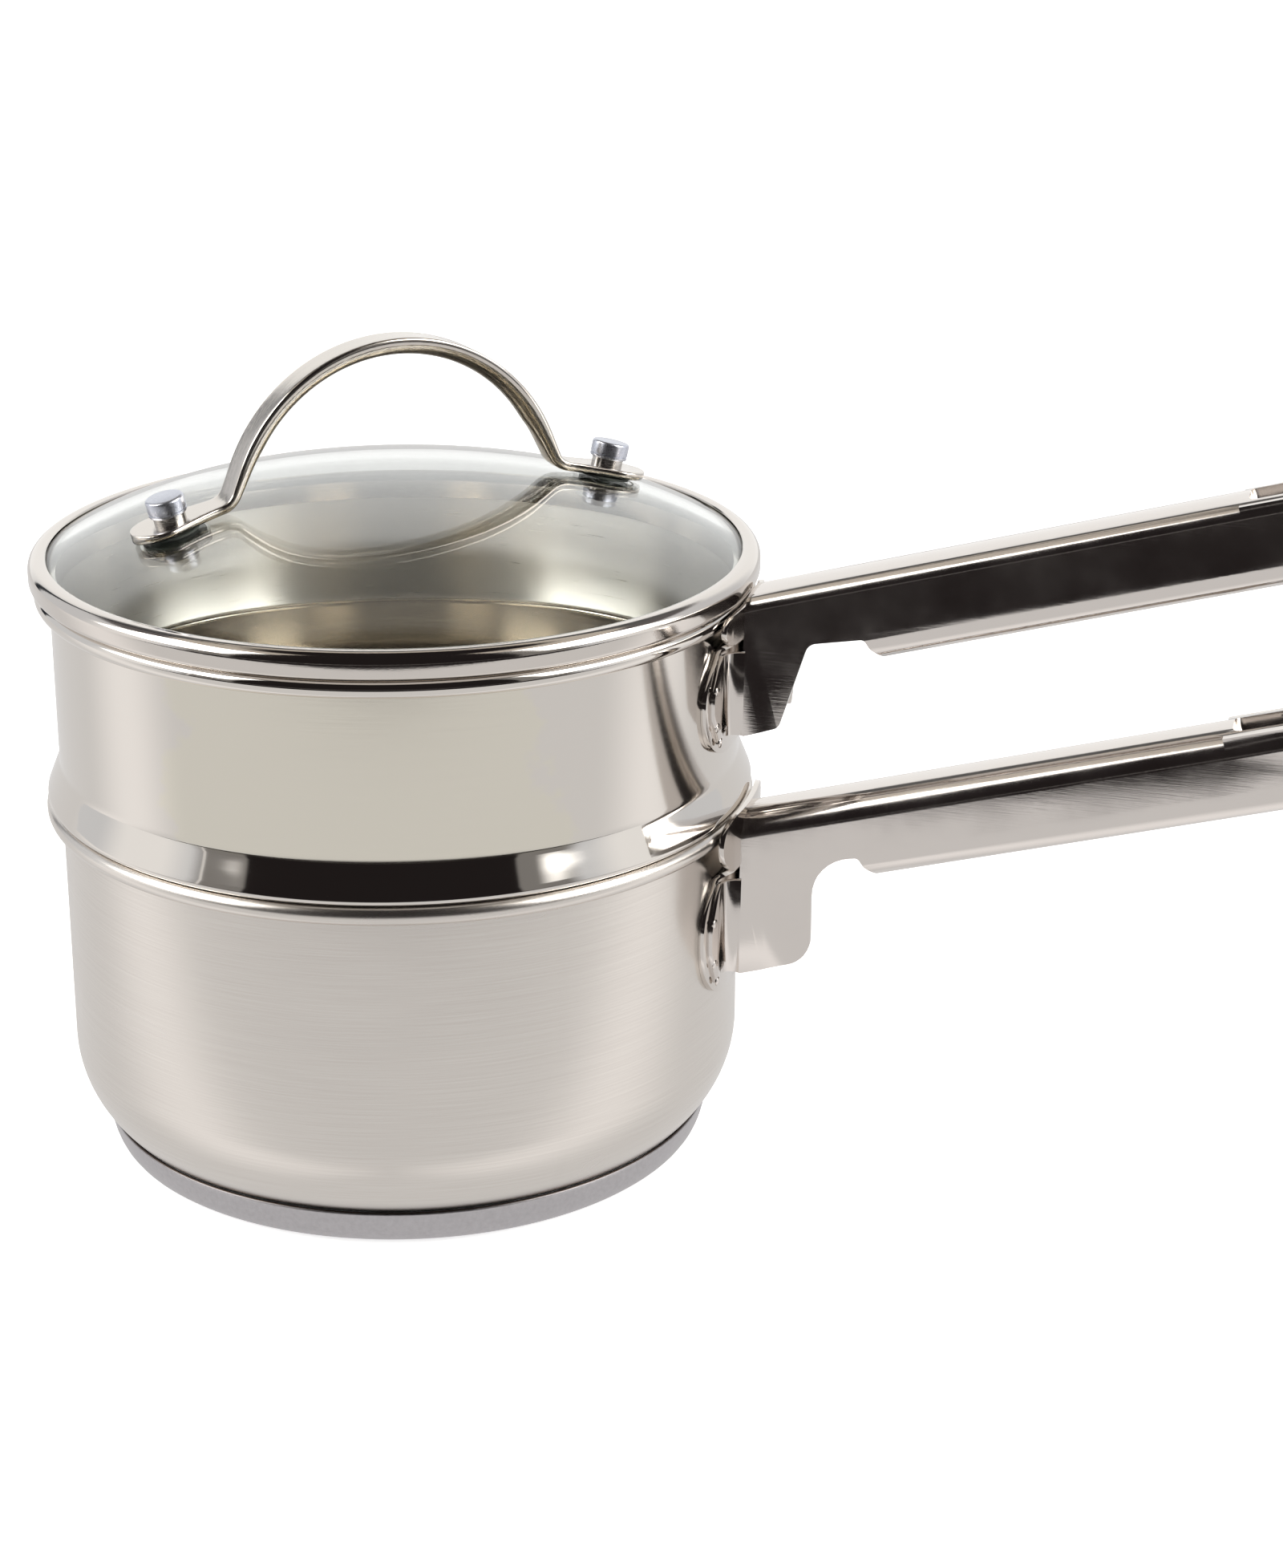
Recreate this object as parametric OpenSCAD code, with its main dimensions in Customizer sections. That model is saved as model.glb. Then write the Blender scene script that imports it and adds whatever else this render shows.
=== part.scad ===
// Double boiler: a saucepan, an insert pan that sits in it, and a glass lid.
// Millimetres. Z is up, the origin is the centre of the saucepan's underside,
// and both pan handles point along +X.

/* [Saucepan] */
// Outer radius of both pans' walls
wall_r = 78; // [70:0.5:100]
// Thickness of the pans' sheet steel
sheet_t = 0.9; // [0.6:0.1:1.4]
// Height of the saucepan's rim above the table
pan_rim_z = 85; // [75:1:120]
// Radius of the saucepan's rounded lower corner
pan_corner_r = 25; // [20:1:30]
// Radius of the rolled bead on each rim
bead_r = 2.15; // [1.6:0.05:2.6]

/* [Base] */
// How far the base's upper edge lies inside the wall
base_in = 6.5; // [4:0.5:12]
// Height of the capsule base
base_h = 9; // [6:0.5:12]
// How far the base's lower edge is rounded in
base_round = 4.5; // [3:0.5:6]
// Thickness of the steel cap around the aluminium disc
base_cap_t = 0.8; // [0.5:0.1:1.2]

/* [Insert pan] */
// Height of the insert above the saucepan's rim
insert_rise = 50.2; // [45:0.2:80]
// Height of the flared shoulder that rests on the saucepan
shoulder_h = 7.8; // [7:0.1:12]
// How far the shoulder flares out past the wall
shoulder_out = 3; // [2:0.1:4]
// How far the insert's bottom hangs below the saucepan's rim
insert_drop = 47; // [30:1:60]
// Radius of the insert's rounded lower corner
insert_corner_r = 18; // [10:1:25]

/* [Lid] */
// How far the lid's steel band reaches past the insert's bead
band_over = 1; // [0.8:0.1:2]
// Thickness of the band's steel
band_t = 0.7; // [0.5:0.1:1]
// Thickness of the glass
glass_t = 3.2; // [2.6:0.1:4]
// Radius of the glass dome's main curve
dome_r = 225; // [200:5:320]
// Radius of the tighter curve near the glass's edge
knuckle_r = 100; // [80:1:130]
// Width of the tighter curve, from the band's edge inwards
knuckle_w = 26.4; // [20:0.2:30]
// Depth of the skirt that keeps the lid centred in the insert
skirt_h = 4; // [2:0.5:8]

/* [Lid handle] */
// Radius of the handle's arch, at its upper face
arch_r = 40.6; // [38:0.2:42]
// Distance of each rivet outside the arch
foot_reach = 11.8; // [11.8:0.1:14]
// How far the arch's centre lies below the centres of the bends at its feet
arch_sink = 11.4; // [9:0.1:16]
// Width of the handle's bar
strap_w = 7.6; // [6:0.2:10]
// Thickness of the handle's bar at its middle
strap_t = 4.2; // [3:0.1:6]
// Thickness of the flattened feet and of the bar's edges
foot_t = 2.2; // [1.6:0.1:2.6]
// Radius of the rounded feet
foot_r = 6.8; // [5.5:0.1:8]
// Turn of the lid's handle away from the pan handles, in degrees
lid_turn = 42; // [-180:1:180]

/* [Lid fasteners] */
// Radius of the stud's shank
shank_r = 2.5; // [1.8:0.1:3]
// Radius of the stud's collar above the foot
collar_r = 3.6; // [3.2:0.1:4]
// Height of that collar
collar_h = 1.7; // [1:0.1:3]
// Radius of the aluminium cap pressed on the stud
cap_r = 4.3; // [4:0.1:6]
// Height of that cap
cap_h = 3.9; // [3:0.1:6]
// Radius of the outer gasket between foot and glass
gasket_r = 5.8; // [5:0.1:6.5]
// Thickness of the outer gasket
gasket_t = 0.5; // [0.4:0.1:1.5]
// Radius of the inner gasket under the glass
inner_gasket_r = 7.1; // [6.5:0.1:9]
// Thickness of the inner gasket
inner_gasket_t = 1.2; // [0.8:0.1:2]
// Thickness of the steel cup that holds the inner gasket
washer_t = 0.7; // [0.5:0.1:1.5]

/* [Pan handles] */
// Width of each handle's grip
grip_w = 17; // [13:0.5:21]
// Height of the grip, square to its length
grip_h = 19.8; // [17:0.2:24]
// Distance from the pans' axis to the handles' tips
grip_end = 216; // [190:1:240]
// Rise of the grips, in degrees
grip_rise = 15.4; // [8:0.2:20]
// Thickness of the handles' sheet steel
grip_t = 1.1; // [0.8:0.1:1.5]
// Width of the open seam under the grip
seam_w = 4; // [3:0.5:6]
// Radius of the hole for hanging up each pan
hang_r = 3.5; // [2.5:0.5:4.5]
// Height of the saucepan grip's underside where it leaves the pan
pan_grip_z = 65.9; // [62:0.1:70]
// The same height for the insert's grip, above the saucepan's rim
insert_grip_rise = 31.9; // [28:0.1:36]
// Thickness of the mounting plates
plate_t = 1.2; // [0.8:0.1:2]
// Half width of the mounting plates' lower lobes, on the wall
lobe_w = 18.5; // [16:0.5:22]
// Half width of their upper lobes, in front of the bead
wing_w = 17; // [14:0.5:20]
// How far each plate reaches below its grip: the saucepan's, then the insert's
pan_lobe_drop = 23; // [20:0.5:26]
insert_lobe_drop = 16; // [14:0.5:20]
// Height of each plate's neck above its grip's underside
pan_neck_rise = 6; // [4:0.1:8]
insert_neck_rise = 8.7; // [6:0.1:9]
// Height of each plate's top above its grip's underside
pan_wing_rise = 21.6; // [18:0.2:24]
insert_wing_rise = 18.2; // [17:0.1:18.2]
// How far each grip's webs reach below it
pan_web_drop = 16.6; // [14:0.2:20]
insert_web_drop = 11; // [9:0.2:13]

/* [Hidden] */
$fn = 96;

// Clearances between pieces that lift apart
seat_gap = 0.3;
insert_play = 0.6;
skirt_play = 0.9;
stack_play = 0.1;

// Rims, shoulder and insert
bead_x = wall_r - sheet_t + bead_r;
rim_r = bead_x + bead_r;
shelf_z = pan_rim_z + seat_gap;
crease_z = shelf_z + sheet_t + shoulder_h;
shoulder_r = wall_r + shoulder_out;
insert_r = wall_r - sheet_t - insert_play;
insert_rim_z = pan_rim_z + insert_rise;
insert_floor_z = pan_rim_z - insert_drop;

// Base
base_r = wall_r - base_in;
floor_z = base_h - 0.6;
core_z = base_cap_t;
core_r = base_r - base_cap_t - 0.3;
corner_x = wall_r - pan_corner_r;
corner_z = base_h + 0.5 + sqrt(pow(pan_corner_r, 2) - pow(base_r - corner_x, 2));

// Glass dome, worked up from the band's seat
band_r = rim_r + band_over;
band_z = insert_rim_z + seat_gap;
glass_r = band_r - 2.6;
lip_r = band_r - 4.1;
knuckle_start = band_r - knuckle_w;
knuckle_a = asin(knuckle_start / dome_r);
knuckle_x = knuckle_start - knuckle_r * sin(knuckle_a);
knuckle_in = knuckle_r - glass_t;
knuckle_z = band_z + band_t - sqrt(pow(knuckle_in, 2) - pow(glass_r - knuckle_x, 2));
dome_z = knuckle_z - (dome_r - knuckle_r) * cos(knuckle_a);
lip_z = knuckle_z + sqrt(pow(knuckle_r, 2) - pow(lip_r - knuckle_x, 2));
band_top_z = lip_z + band_t;
skirt_r = wall_r - sheet_t - skirt_play;

// Lid handle: an arch, two straight legs, two bends and two feet.
// The arch and the bend above each foot share one tangent, the leg.
rivet_reach = arch_r + foot_reach;
rivet_a = asin(rivet_reach / dome_r);
foot_top = gasket_t + foot_t;
bend_r = 4;
bend_in = 10.8;
foot_shift = 2.5;
bend_x = rivet_reach + (foot_top + bend_r) * sin(rivet_a) - bend_in * cos(rivet_a);
bend_z = dome_z + dome_r * cos(rivet_a) + (foot_top + bend_r) * cos(rivet_a)
    + bend_in * sin(rivet_a);
arch_z = bend_z - arch_sink;
bend_gap = sqrt(pow(bend_x, 2) + pow(bend_z - arch_z, 2));
leg_l = sqrt(pow(bend_gap, 2) - pow(arch_r + bend_r, 2));
leg_a = atan2(bend_z - arch_z, bend_x) + acos((arch_r + bend_r) / bend_gap);

// Pan handles
plate_x = rim_r + 0.7;
root_x = plate_x + plate_t;
fold_r = 5;
fold_y = grip_w / 2 + fold_r - grip_t;
fold_x = sqrt(pow(wall_r + plate_t + fold_r, 2) - pow(fold_y, 2));
hem_x = root_x + 26;
hem_h = 6.8;
pocket_x = grip_end - 21.5;
pocket_depth = 2.5;
pocket_w = 9;
insert_grip_z = pan_rim_z + insert_grip_rise;

// A polygon's points with each corner rounded by its own radius
function unit(v) = v / norm(v);
function corner(a, b, c, r, n = 8) =
    let(
        u = unit(a - b),
        v = unit(c - b),
        half = acos(u * v) / 2,
        reach = r / tan(half),
        centre = b + unit(u + v) * r / sin(half),
        p = b + u * reach - centre,
        q = b + v * reach - centre,
        turn = sign(u[0] * v[1] - u[1] * v[0]) * -(180 - 2 * half),
        start = atan2(p[1], p[0])
    )
    r <= 0 ? [b] : [for (i = [0:n]) centre + r * [cos(start + turn * i / n), sin(start + turn * i / n)]];
function rounded(pts, radii) =
    let(n = len(pts))
    [for (i = [0:n - 1]) each corner(pts[(i + n - 1) % n], pts[i], pts[(i + 1) % n], radii[i])];

// Profile of the space inside a surface t below the saucepan's outside
module pan_profile(t, top_z) {
    translate([0, corner_z])
        square([wall_r - t, top_z - corner_z]);
    intersection() {
        union() {
            translate([corner_x, corner_z])
                circle(r = pan_corner_r - t, $fn = 180);
            square([corner_x, corner_z]);
        }
        translate([0, floor_z + t])
            square([wall_r, corner_z - floor_z - t]);
    }
}

module bead_profile(rim_z) {
    translate([bead_x, rim_z - bead_r])
        circle(r = bead_r, $fn = 48);
}

module saucepan_shell() {
    color("#d8d5d0")
    rotate_extrude($fn = 180) {
        difference() {
            pan_profile(0, pan_rim_z - bead_r);
            pan_profile(sheet_t, pan_rim_z);
        }
        bead_profile(pan_rim_z);
    }
}

// Profile of the base, inset by t from the cap's outside
function base_profile(t, top_z, top_r) = [
    [0, t],
    [base_r - base_round, t],
    [base_r - 0.45 * base_round, 0.25 * base_round + 0.6 * t],
    [base_r - 0.18 * base_round - t, 0.8 * base_round],
    [top_r, top_z],
    [0, top_z]
];

module base_core() {
    color("#b9babc")
    rotate_extrude($fn = 180)
        polygon(base_profile(core_z, floor_z, core_r));
}

module base_cap() {
    color("#bdbbb9")
    rotate_extrude($fn = 180)
        difference() {
            polygon(base_profile(0, base_h, base_r));
            polygon(base_profile(core_z, floor_z, core_r));
            pan_profile(0, pan_rim_z);
        }
}

// The insert's outside, or with t its inside: a hanging pot below the shelf
module pot_profile(t) {
    r = insert_r - t;
    corner = insert_corner_r - t;
    floor_in = insert_floor_z + t;
    translate([0, floor_in + corner])
        square([r, shelf_z - floor_in - corner + 3 * sheet_t]);
    translate([0, floor_in])
        square([r - corner, corner]);
    translate([r - corner, floor_in + corner])
        circle(r = corner, $fn = 120);
}

// Wall, flared shoulder and the shelf that rests on the saucepan's bead
module collar_profile(t) {
    lip = 0.9;
    inner = t == 0 ? 0 : sheet_t;
    polygon([
        [0, shelf_z + inner],
        [shoulder_r - lip - t, shelf_z + inner],
        [shoulder_r - t, shelf_z + lip + 0.2 * inner],
        [wall_r - t, crease_z],
        [wall_r - t, insert_rim_z - (t == 0 ? bead_r : 0)],
        [0, insert_rim_z - (t == 0 ? bead_r : 0)]
    ]);
}

module insert_shell() {
    color("#cfcac0")
    rotate_extrude($fn = 180) {
        difference() {
            union() {
                collar_profile(0);
                intersection() {
                    pot_profile(0);
                    translate([0, insert_floor_z])
                        square([insert_r, insert_drop + 1]);
                }
            }
            collar_profile(sheet_t);
            intersection() {
                pot_profile(sheet_t);
                translate([0, insert_floor_z])
                    square([insert_r, insert_drop + 2]);
            }
        }
        bead_profile(insert_rim_z);
    }
}

// The space under the dome, t below its outer face: the main curve's circle,
// cut down outside the join by the tighter one, which touches it there
module glass_profile(t) {
    join_x = knuckle_x + (knuckle_r - t) * sin(knuckle_a);
    intersection() {
        translate([0, dome_z])
            circle(r = dome_r - t, $fn = 720);
        union() {
            translate([0, dome_z])
                square([join_x, dome_r]);
            translate([knuckle_x, knuckle_z])
                circle(r = knuckle_r - t, $fn = 360);
        }
    }
}

// Puts its children at one rivet, Z square to the glass, its top face at 0
module at_rivet(side) {
    rotate([0, 0, lid_turn])
        translate([0, 0, dome_z])
            rotate([0, side * rivet_a, 0])
                translate([0, 0, dome_r])
                    rotate([0, 0, side > 0 ? 0 : 180])
                        children();
}

module lid_glass() {
    color("#c9d6cf", 0.35)
    difference() {
        rotate_extrude($fn = 180)
            intersection() {
                difference() {
                    glass_profile(0);
                    glass_profile(glass_t);
                }
                translate([0, band_z])
                    square([glass_r, 60]);
            }
        for (side = [-1, 1])
            at_rivet(side)
                translate([0, 0, -2 * glass_t])
                    cylinder(r = shank_r + stack_play, h = 4 * glass_t, $fn = 48);
    }
}

module lid_band() {
    top_round = 2.7;
    low_round = 0.8;
    color("#dcdad6")
    rotate_extrude($fn = 180) {
        difference() {
            union() {
                translate([skirt_r - band_t, band_z])
                    square([band_r - skirt_r + band_t - top_round, band_top_z - band_z]);
                translate([band_r - top_round, band_z + low_round])
                    square([top_round, band_top_z - band_z - low_round - top_round]);
                translate([band_r - top_round, band_top_z - top_round])
                    circle(r = top_round, $fn = 60);
                translate([band_r - top_round, band_z])
                    square([top_round - low_round, low_round]);
                translate([band_r - low_round, band_z + low_round])
                    circle(r = low_round, $fn = 36);
            }
            translate([skirt_r - 2 * band_t, band_z + band_t])
                square([band_r - skirt_r + band_t, lip_z - band_z - top_round]);
            translate([skirt_r - 2 * band_t, band_z + band_t])
                square([band_r - skirt_r + 2 * band_t - top_round, lip_z - band_z - band_t]);
            translate([band_r - top_round, band_top_z - top_round])
                circle(r = top_round - band_t, $fn = 60);
            translate([skirt_r - 2 * band_t, lip_z - band_t])
                square([lip_r - skirt_r + 2 * band_t, 4 * band_t]);
        }
        translate([skirt_r - band_t, band_z - skirt_h])
            square([band_t, skirt_h + band_t]);
    }
}

// Points along an arc in the plane of the lid's handle
function arc(x, z, r, from, to, n) =
    [for (i = [0:n]) [x + r * cos(from + (to - from) * i / n), z + r * sin(from + (to - from) * i / n)]];

// One face of the bar, depth below its upper face, from the right foot to the
// top of the arch, and the mirrored other half
function half_path(depth) = concat(
    arc(bend_x, bend_z, bend_r + depth, 270 - rivet_a, 180 + leg_a, 10),
    arc(0, arch_z, arch_r - depth, leg_a, 90, 24));
function mirrored(path) = [for (i = [len(path) - 2:-1:0]) [-path[i][0], path[i][1]]];
function bar_path(depth) = concat(half_path(depth), mirrored(half_path(depth)));
function backwards(path) = [for (i = [len(path) - 1:-1:0]) path[i]];

// The rounded belly under the arch, narrower than the bar by its edges
module belly_section() {
    belly_w = strap_w - 0.6;
    belly = strap_t - foot_t;
    belly_r = (pow(belly_w / 2, 2) + pow(belly, 2)) / (2 * belly);
    translate([arch_r - foot_t - 0.01, -belly_w / 2])
        square([foot_t / 2, belly_w]);
    intersection() {
        translate([arch_r - strap_t + belly_r, 0])
            circle(r = belly_r, $fn = 72);
        translate([arch_r - strap_t, -belly_w / 2])
            square([belly, belly_w]);
    }
}

module strap_foot() {
    translate([0, 0, gasket_t])
        difference() {
            union() {
                translate([foot_shift, 0])
                    cylinder(r = foot_r, h = foot_t, $fn = 72);
                linear_extrude(foot_t)
                    polygon([
                        [-bend_in - 0.2, -strap_w / 2],
                        [foot_shift - foot_r * 0.3, -foot_r * 0.95],
                        [foot_shift - foot_r * 0.3, foot_r * 0.95],
                        [-bend_in - 0.2, strap_w / 2]
                    ]);
            }
            translate([0, 0, -1])
                cylinder(r = shank_r + stack_play, h = foot_t + 2, $fn = 48);
        }
}

module lid_handle() {
    color("#c8c5c0") {
        rotate([0, 0, lid_turn]) {
            translate([0, strap_w / 2, 0])
                rotate([90, 0, 0])
                    linear_extrude(strap_w)
                        polygon(concat(bar_path(0), backwards(bar_path(foot_t))));
            translate([0, 0, arch_z])
                rotate([90, 0, 0])
                    rotate([0, 0, leg_a])
                        rotate_extrude(angle = 180 - 2 * leg_a, $fn = 180)
                            belly_section();
        }
        for (side = [-1, 1])
            at_rivet(side)
                strap_foot();
    }
}

// The stud's heights, measured up from the glass's top face at the rivet
glass_dip = dome_r - glass_t - sqrt(pow(dome_r - glass_t, 2) - pow(inner_gasket_r, 2));
inner_gasket_z = -glass_t - glass_dip - inner_gasket_t;
washer_z = inner_gasket_z - washer_t;
washer_r = inner_gasket_r + washer_t;
tail_h = 1.4;
tail_r = washer_r - 2.2;
cap_z = foot_top + collar_h;
cap_bore_h = cap_h - 0.9;

module stud(side) {
    color("#b8b8b8")
    at_rivet(side) {
        translate([0, 0, washer_z - tail_h])
            cylinder(r = tail_r, h = tail_h, $fn = 48);
        translate([0, 0, washer_z - tail_h])
            cylinder(r = shank_r, h = cap_z + cap_bore_h - washer_z + tail_h, $fn = 48);
        translate([0, 0, foot_top])
            cylinder(r = collar_r, h = collar_h, $fn = 48);
    }
}

module rivet_cap(side) {
    edge = 0.7;
    color("#d9dade")
    at_rivet(side)
        translate([0, 0, cap_z])
            rotate_extrude($fn = 48)
                difference() {
                    polygon([
                        [0, 0], [cap_r, 0], [cap_r, cap_h - edge],
                        [cap_r - 0.3 * edge, cap_h - 0.3 * edge],
                        [cap_r - edge, cap_h], [0, cap_h]
                    ]);
                    square([shank_r, cap_bore_h]);
                }
}

// A flat ring on the stud, from one height up by its thickness
module ring(outer_r, base_z, thick) {
    translate([0, 0, base_z])
        difference() {
            cylinder(r = outer_r, h = thick, $fn = 72);
            translate([0, 0, -1])
                cylinder(r = shank_r + stack_play, h = thick + 2, $fn = 48);
        }
}

module gasket(side) {
    color("#4d524c")
    at_rivet(side)
        ring(gasket_r, 0, gasket_t);
}

module inner_gasket(side) {
    color("#4d524c")
    at_rivet(side)
        ring(inner_gasket_r, inner_gasket_z, inner_gasket_t);
}

// A shallow cup round the inner gasket
module washer(side) {
    color("#cfcfcf")
    at_rivet(side) {
        ring(washer_r, washer_z, washer_t);
        translate([0, 0, washer_z])
            difference() {
                cylinder(r = washer_r, h = washer_t + 0.7 * inner_gasket_t, $fn = 72);
                translate([0, 0, -1])
                    cylinder(r = inner_gasket_r, h = washer_t + inner_gasket_t + 1, $fn = 72);
            }
    }
}

// Outline of one lobe of a mounting plate, in Y and Z
module lobe_outline(half_w, low_z, high_z, inset) {
    r = (high_z - low_z) / 2 - inset;
    for (y = [-1, 1])
        translate([y * (half_w - inset - r), (low_z + high_z) / 2])
            circle(r = r, $fn = 60);
    translate([inset + r - half_w, low_z + inset])
        square([2 * (half_w - inset - r), 2 * r]);
}

// A layer of sheet curved round the pan's axis within that outline
module wrapped_lobe(half_w, low_z, high_z, inset, r0, r1) {
    reach = 2 * (r1 - r0) + r1 - sqrt(pow(r0, 2) - pow(half_w, 2));
    intersection() {
        translate([r1 - reach, 0, 0])
            rotate([90, 0, 90])
                linear_extrude(2 * reach)
                    lobe_outline(half_w, low_z, high_z, inset);
        translate([0, 0, low_z - r0 / 20])
            difference() {
                cylinder(r = r1, h = high_z - low_z + r0 / 10, $fn = 180);
                translate([0, 0, -1])
                    cylinder(r = r0, h = high_z - low_z + r0 / 10 + 2, $fn = 180);
            }
    }
}

// Lower lobe on the wall, a neck that bends out past the rim's bead, and an
// upper lobe in front of the bead that closes the end of the grip
module handle_plate(low_z, neck_z, top_z) {
    neck_w = 0.9 * grip_w;
    bend_h = 2 * (plate_x - wall_r) / 3;
    wrapped_lobe(lobe_w, low_z, neck_z, 0, wall_r, wall_r + plate_t);
    wrapped_lobe(wing_w, neck_z + plate_t, top_z, 0, plate_x, root_x);
    translate([0, neck_w / 2, 0])
        rotate([90, 0, 0])
            linear_extrude(neck_w)
                polygon([
                    [wall_r, neck_z - 3 * plate_t],
                    [wall_r + plate_t, neck_z - 3 * plate_t],
                    [wall_r + plate_t, neck_z - plate_t / 2],
                    [root_x, neck_z + bend_h - plate_t / 2],
                    [root_x, neck_z + bend_h + 2 * plate_t],
                    [plate_x, neck_z + bend_h + 2 * plate_t],
                    [plate_x, neck_z + bend_h],
                    [wall_r, neck_z]
                ]);
}

module saucepan_handle_plate() {
    color("#c2bfbb")
        handle_plate(pan_grip_z - pan_lobe_drop, pan_grip_z + pan_neck_rise,
            pan_grip_z + pan_wing_rise);
}

module insert_handle_plate() {
    color("#c2bfbb")
        handle_plate(insert_grip_z - insert_lobe_drop, insert_grip_z + insert_neck_rise,
            insert_grip_z + insert_wing_rise);
}

// Section of the grip: a crowned top, upright sides and a rounded underside
module grip_section(t) {
    w = grip_w - 2 * t;
    h = grip_h - 2 * t;
    low_r = 5 - t;
    top_r = 3 - t / 2;
    crown = 1.6;
    crown_r = (pow(grip_w / 2, 2) + pow(crown, 2)) / (2 * crown) - t;
    translate([0, t])
        intersection() {
            union() {
                translate([-w / 2, low_r])
                    square([w, h - low_r - top_r]);
                for (y = [-1, 1]) {
                    translate([y * (w / 2 - low_r), low_r])
                        circle(r = low_r, $fn = 48);
                    translate([y * (w / 2 - top_r), h - top_r])
                        circle(r = top_r, $fn = 48);
                }
                translate([low_r - w / 2, 0])
                    square([w - 2 * low_r, low_r]);
                translate([top_r - w / 2, h - top_r])
                    square([w - 2 * top_r, top_r]);
            }
            translate([0, h - crown_r])
                circle(r = crown_r, $fn = 120);
        }
}

// Puts its children in the grip's frame: X along the grip from its root
module along_grip(grip_z) {
    translate([root_x, 0, grip_z])
        rotate([0, -grip_rise, 0])
            children();
}

module grip_prism(t, from_x, to_x) {
    translate([from_x, 0, 0])
        rotate([90, 0, 90])
            linear_extrude(to_x - from_x)
                grip_section(t);
}

// The grip: a folded channel with an open seam, and a pocket at its tip
module grip(grip_z) {
    length = (grip_end - root_x) / cos(grip_rise);
    pocket_s = (pocket_x - root_x) / cos(grip_rise);
    hem_s = (hem_x - root_x) / cos(grip_rise);
    hang_s = length - 10;
    floor_s = grip_h - pocket_depth - 1.6;
    difference() {
        along_grip(grip_z)
            intersection() {
                difference() {
                    grip_prism(0, -10, length);
                    grip_prism(grip_t, -20, pocket_s - 3);
                    // seam and notch
                    translate([-20, -seam_w / 2, -1])
                        cube([pocket_s + 20, seam_w, 2 * grip_t + 1]);
                    translate([-20, -grip_w, -1])
                        cube([hem_s + 20, 2 * grip_w, hem_h + 1]);
                    // pocket above and below the tip's floor
                    translate([pocket_s, -pocket_w / 2, floor_s + 1.6])
                        cube([length - pocket_s - 3, pocket_w, 10]);
                    translate([pocket_s - 4, -grip_w / 2 + grip_t, -1])
                        cube([length + 10, grip_w - 2 * grip_t, floor_s + 1]);
                    translate([hang_s, 0, 0])
                        cylinder(r = hang_r, h = 2 * grip_h, $fn = 48);
                }
                // rounded tip, seen from above
                union() {
                    translate([-30, -grip_w, -5])
                        cube([length + 30 - grip_w / 2, 2 * grip_w, 2 * grip_h]);
                    translate([length - grip_w / 2, 0, -5])
                        cylinder(r = grip_w / 2, h = 2 * grip_h, $fn = 96);
                }
            }
        // end against the mounting plate's upper lobe
        translate([0, 0, grip_z - grip_h])
            cylinder(r = root_x, h = 3 * grip_h, $fn = 180);
    }
}

// One side's web below the grip, its fold and its welded flange
module web_side(outline, low_z, high_z, flange_low, flange_high) {
    translate([0, grip_w / 2, 0])
        rotate([90, 0, 0])
            linear_extrude(grip_t)
                polygon(outline);
    translate([fold_x, fold_y, low_z])
        intersection() {
            difference() {
                cylinder(r = fold_r, h = high_z - low_z, $fn = 72);
                translate([0, 0, -1])
                    cylinder(r = fold_r - grip_t, h = high_z - low_z + 2, $fn = 72);
            }
            translate([-fold_r - 1, -fold_r - 1, 0])
                cube([fold_r + 1, fold_r + 1, high_z - low_z]);
        }
    intersection() {
        wrapped_lobe(lobe_w, flange_low, flange_high, 1.4, wall_r + plate_t,
            wall_r + plate_t + grip_t);
        translate([0, fold_y, low_z])
            cube([2 * wall_r, lobe_w, high_z - low_z]);
    }
}

module insert_handle() {
    z = insert_grip_z;
    slope = tan(grip_rise);
    step = hem_h / cos(grip_rise);
    low = insert_web_drop;
    high = insert_neck_rise - 0.7;
    outline = rounded(
        [[fold_x, z - low], [root_x + 9, z + 0.25 * low - low], [root_x + 14, z + 14 * slope + step],
        [hem_x, z + (hem_x - root_x) * slope + step],
        [hem_x, z + hem_h + 8], [root_x, z + hem_h + 2], [root_x, z + high], [fold_x, z + high]],
        [0, 2, 3, 0, 0, 0, 0, 0]);
    color("#3a3533") {
        grip(z);
        for (side = [0, 1])
            mirror([0, side, 0])
                web_side(outline, z - low, z + high, z - insert_lobe_drop, z + insert_neck_rise);
    }
}

module saucepan_handle() {
    z = pan_grip_z;
    slope = tan(grip_rise);
    step = hem_h / cos(grip_rise);
    low = pan_web_drop;
    high = pan_neck_rise - 1;
    outline = rounded(
        [[fold_x, z - low], [root_x + 16.3, z + 0.25 * low - low], [root_x + 15.7, z + 16 * slope + step],
        [hem_x, z + (hem_x - root_x) * slope + step],
        [hem_x, z + hem_h + 8], [root_x, z + hem_h + 2], [root_x, z + high], [fold_x, z + high]],
        [0, 7, 9, 0, 0, 0, 0, 0]);
    color("#cdc9c5") {
        grip(z);
        for (side = [0, 1])
            mirror([0, side, 0])
                web_side(outline, z - low, z + high, z - pan_lobe_drop, z + pan_neck_rise);
    }
}

saucepan_shell();
base_core();
base_cap();
saucepan_handle_plate();
saucepan_handle();
insert_shell();
insert_handle_plate();
insert_handle();
lid_glass();
lid_band();
lid_handle();
stud(-1);  // stud_left
stud(1);  // stud_right
rivet_cap(-1);  // rivet_cap_left
rivet_cap(1);  // rivet_cap_right
gasket(-1);  // gasket_left
gasket(1);  // gasket_right
inner_gasket(-1);  // inner_gasket_left
inner_gasket(1);  // inner_gasket_right
washer(-1);  // washer_left
washer(1);  // washer_right
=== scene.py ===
# Double boiler: a steel saucepan with a clad base, an insert pan that stands in
# it, a glass lid, and folded steel handles. Sizes are in millimetres.
import bpy
from math import acos, asin, atan2, cos, degrees, pi, radians, sin, sqrt, tan
from mathutils import Matrix, Vector


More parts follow.
